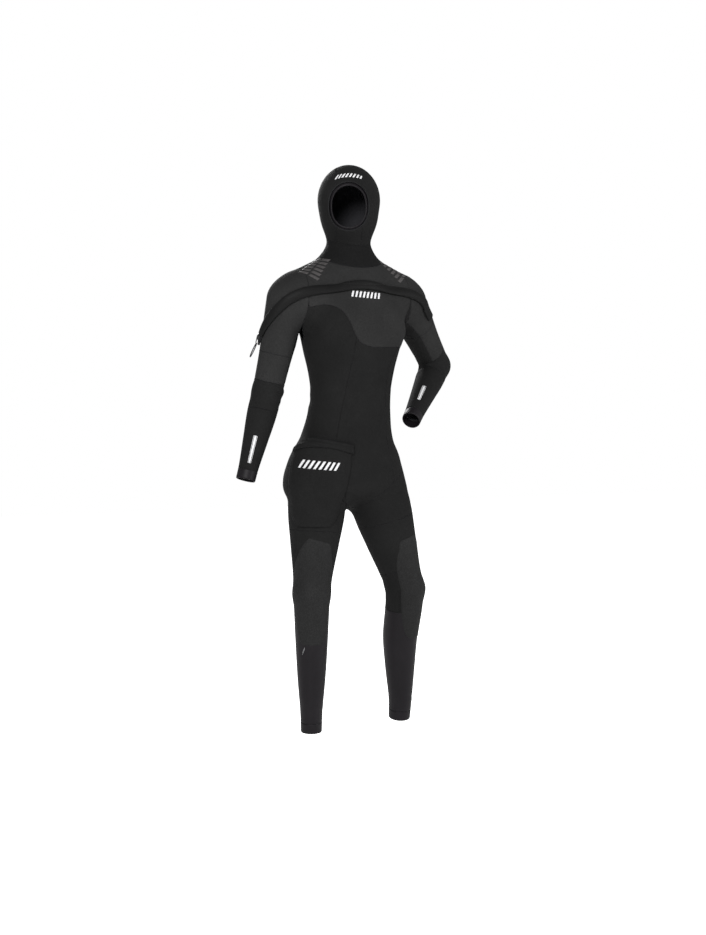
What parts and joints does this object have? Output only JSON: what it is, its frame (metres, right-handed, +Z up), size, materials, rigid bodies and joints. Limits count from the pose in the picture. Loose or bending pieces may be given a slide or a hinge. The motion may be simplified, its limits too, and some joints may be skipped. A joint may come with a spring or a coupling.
{
  "type": "hooded semi-dry wetsuit",
  "caption": "Full-length hooded neoprene wetsuit in the shape of its wearer, with a cross-chest zip, knee pads and a cargo pocket.",
  "frame": {"origin": "point on the floor between the wearer's feet, under the middle of the chest", "axes": "+Z up, -Y the way the chest faces, +X to the wearer's left"},
  "size_m": [0.7559, 0.2973, 1.6547],
  "materials": {
    "jersey": "black nylon jersey bonded to neoprene",
    "heather": "dark grey heathered jersey",
    "skin": "smooth neoprene",
    "grip": "coarse abrasion cloth",
    "flap": "soft matte rubber",
    "tape": "woven tape",
    "plastic": "moulded",
    "cord": "braided cord",
    "mark": "rubber print"
  },
  "bodies": {
    "torso": {"chest_panel": "heather", "front_body_panel": "jersey", "right_side_panel": "jersey", "left_side_panel": "jersey", "right_back_panel": "jersey", "left_back_panel": "jersey", "crotch_gusset": "jersey", "front_yoke": "heather", "back_yoke": "heather", "neck_collar": "jersey", "right_sleeve_head": "heather", "left_sleeve_head": "heather", "right_thigh_top": "jersey", "left_thigh_top": "jersey", "zip_tape_lower": "tape", "zip_tape_upper": "tape", "zip_teeth_lower": "plastic", "zip_teeth_upper": "plastic", "zip_cover_flap": "flap", "zip_under_flap": "jersey", "chest_badge": "mark", "pocket_backing": "jersey", "pocket_face": "jersey", "pocket_badge": "mark"},
    "hood": {"hood_crown_panel": "jersey", "hood_right_panel": "jersey", "hood_left_panel": "jersey", "hood_chin_panel": "jersey", "face_seal": "skin", "hood_badge": "mark"},
    "right_upper_arm": {"right_upper_sleeve": "heather", "right_elbow_panel": "jersey", "zip_end_dock": "plastic"},
    "right_lower_arm": {"right_forearm": "jersey", "right_wrist_seal": "skin", "right_forearm_label": "mark"},
    "left_upper_arm": {"left_upper_sleeve": "heather", "left_elbow_panel": "jersey"},
    "left_lower_arm": {"left_forearm": "jersey", "left_wrist_seal": "skin", "left_forearm_label": "mark"},
    "right_upper_leg": {"right_thigh": "jersey", "right_knee_front": "grip", "right_knee_back": "jersey"},
    "right_lower_leg": {"right_shin": "skin", "right_ankle_seal": "skin", "right_shin_label": "mark"},
    "left_upper_leg": {"left_thigh": "jersey", "left_knee_front": "grip", "left_knee_back": "jersey"},
    "left_lower_leg": {"left_shin": "skin", "left_ankle_seal": "skin"},
    "slider": {"zip_slider": "plastic"},
    "pull": {"zip_pull_tab": "plastic", "zip_pull_cord": "cord"},
    "flap": {"pocket_flap": "jersey"}
  },
  "joints": [
    {"name": "neck_turn", "type": "hinge", "parent": "torso", "child": "hood", "pos_m": [-0.004, 0.006, 1.5], "axis": [0, 0, 1], "range_deg": [-30, 85], "deforming": ["neck_collar"]},
    {"name": "right_shoulder_raise", "type": "hinge", "parent": "torso", "child": "right_upper_arm", "pos_m": [-0.195, 0.02, 1.33], "axis": [0, 1, 0], "range_deg": [0, 80], "deforming": ["right_sleeve_head", "zip_tape_lower", "zip_tape_upper", "zip_teeth_lower", "zip_teeth_upper", "zip_cover_flap"]},
    {"name": "left_shoulder_raise", "type": "hinge", "parent": "torso", "child": "left_upper_arm", "pos_m": [0.195, 0.02, 1.33], "axis": [0, -1, 0], "range_deg": [-5, 45], "deforming": ["left_sleeve_head"]},
    {"name": "right_elbow_bend", "type": "hinge", "parent": "right_upper_arm", "child": "right_lower_arm", "pos_m": [-0.243, 0.058, 1.068], "axis": [-0.96, 0.192, 0.2037], "range_deg": [-5, 90], "deforming": ["right_elbow_panel"]},
    {"name": "left_elbow_bend", "type": "hinge", "parent": "left_upper_arm", "child": "left_lower_arm", "pos_m": [0.361, 0.122, 1.145], "axis": [-0.5795, 0.8117, -0.0724], "range_deg": [-75, 5], "deforming": ["left_elbow_panel"]},
    {"name": "right_hip_swing", "type": "hinge", "parent": "torso", "child": "right_upper_leg", "pos_m": [-0.102, 0.006, 0.845], "axis": [-1, 0, 0], "range_deg": [-8, 55], "deforming": ["right_thigh_top", "pocket_backing", "pocket_face", "pocket_badge"]},
    {"name": "left_hip_swing", "type": "hinge", "parent": "torso", "child": "left_upper_leg", "pos_m": [0.066, 0.006, 0.845], "axis": [-1, 0, 0], "range_deg": [-8, 55], "deforming": ["left_thigh_top"]},
    {"name": "right_knee_bend", "type": "hinge", "parent": "right_upper_leg", "child": "right_lower_leg", "pos_m": [-0.132, -0.005, 0.482], "axis": [0.8821, -0.4711, 0], "range_deg": [-5, 80], "deforming": ["right_knee_front", "right_knee_back"]},
    {"name": "left_knee_bend", "type": "hinge", "parent": "left_upper_leg", "child": "left_lower_leg", "pos_m": [0.168, -0.028, 0.482], "axis": [0.8486, 0.5291, 0], "range_deg": [-18, 62], "deforming": ["left_knee_front", "left_knee_back"]},
    {"name": "zip_slide", "type": "hinge", "parent": "right_upper_arm", "child": "slider", "pos_m": [-0.09917, 0.03692, 1.24311], "axis": [-0.0136, 0.7554, 0.6551], "range_deg": [0, 40]},
    {"name": "pull_swing", "type": "hinge", "parent": "slider", "child": "pull", "pos_m": [-0.27667, 0.05144, 1.22907], "axis": [0.2904, 0.7029, 0.6493], "range_deg": [0, 100]},
    {"name": "pocket_flap_lift", "type": "hinge", "parent": "torso", "child": "flap", "pos_m": [-0.12656, -0.06128, 0.92429], "axis": [-0.7677, 0.6409, 0], "range_deg": [0, 90], "deforming": ["pocket_flap"]}
  ]
}
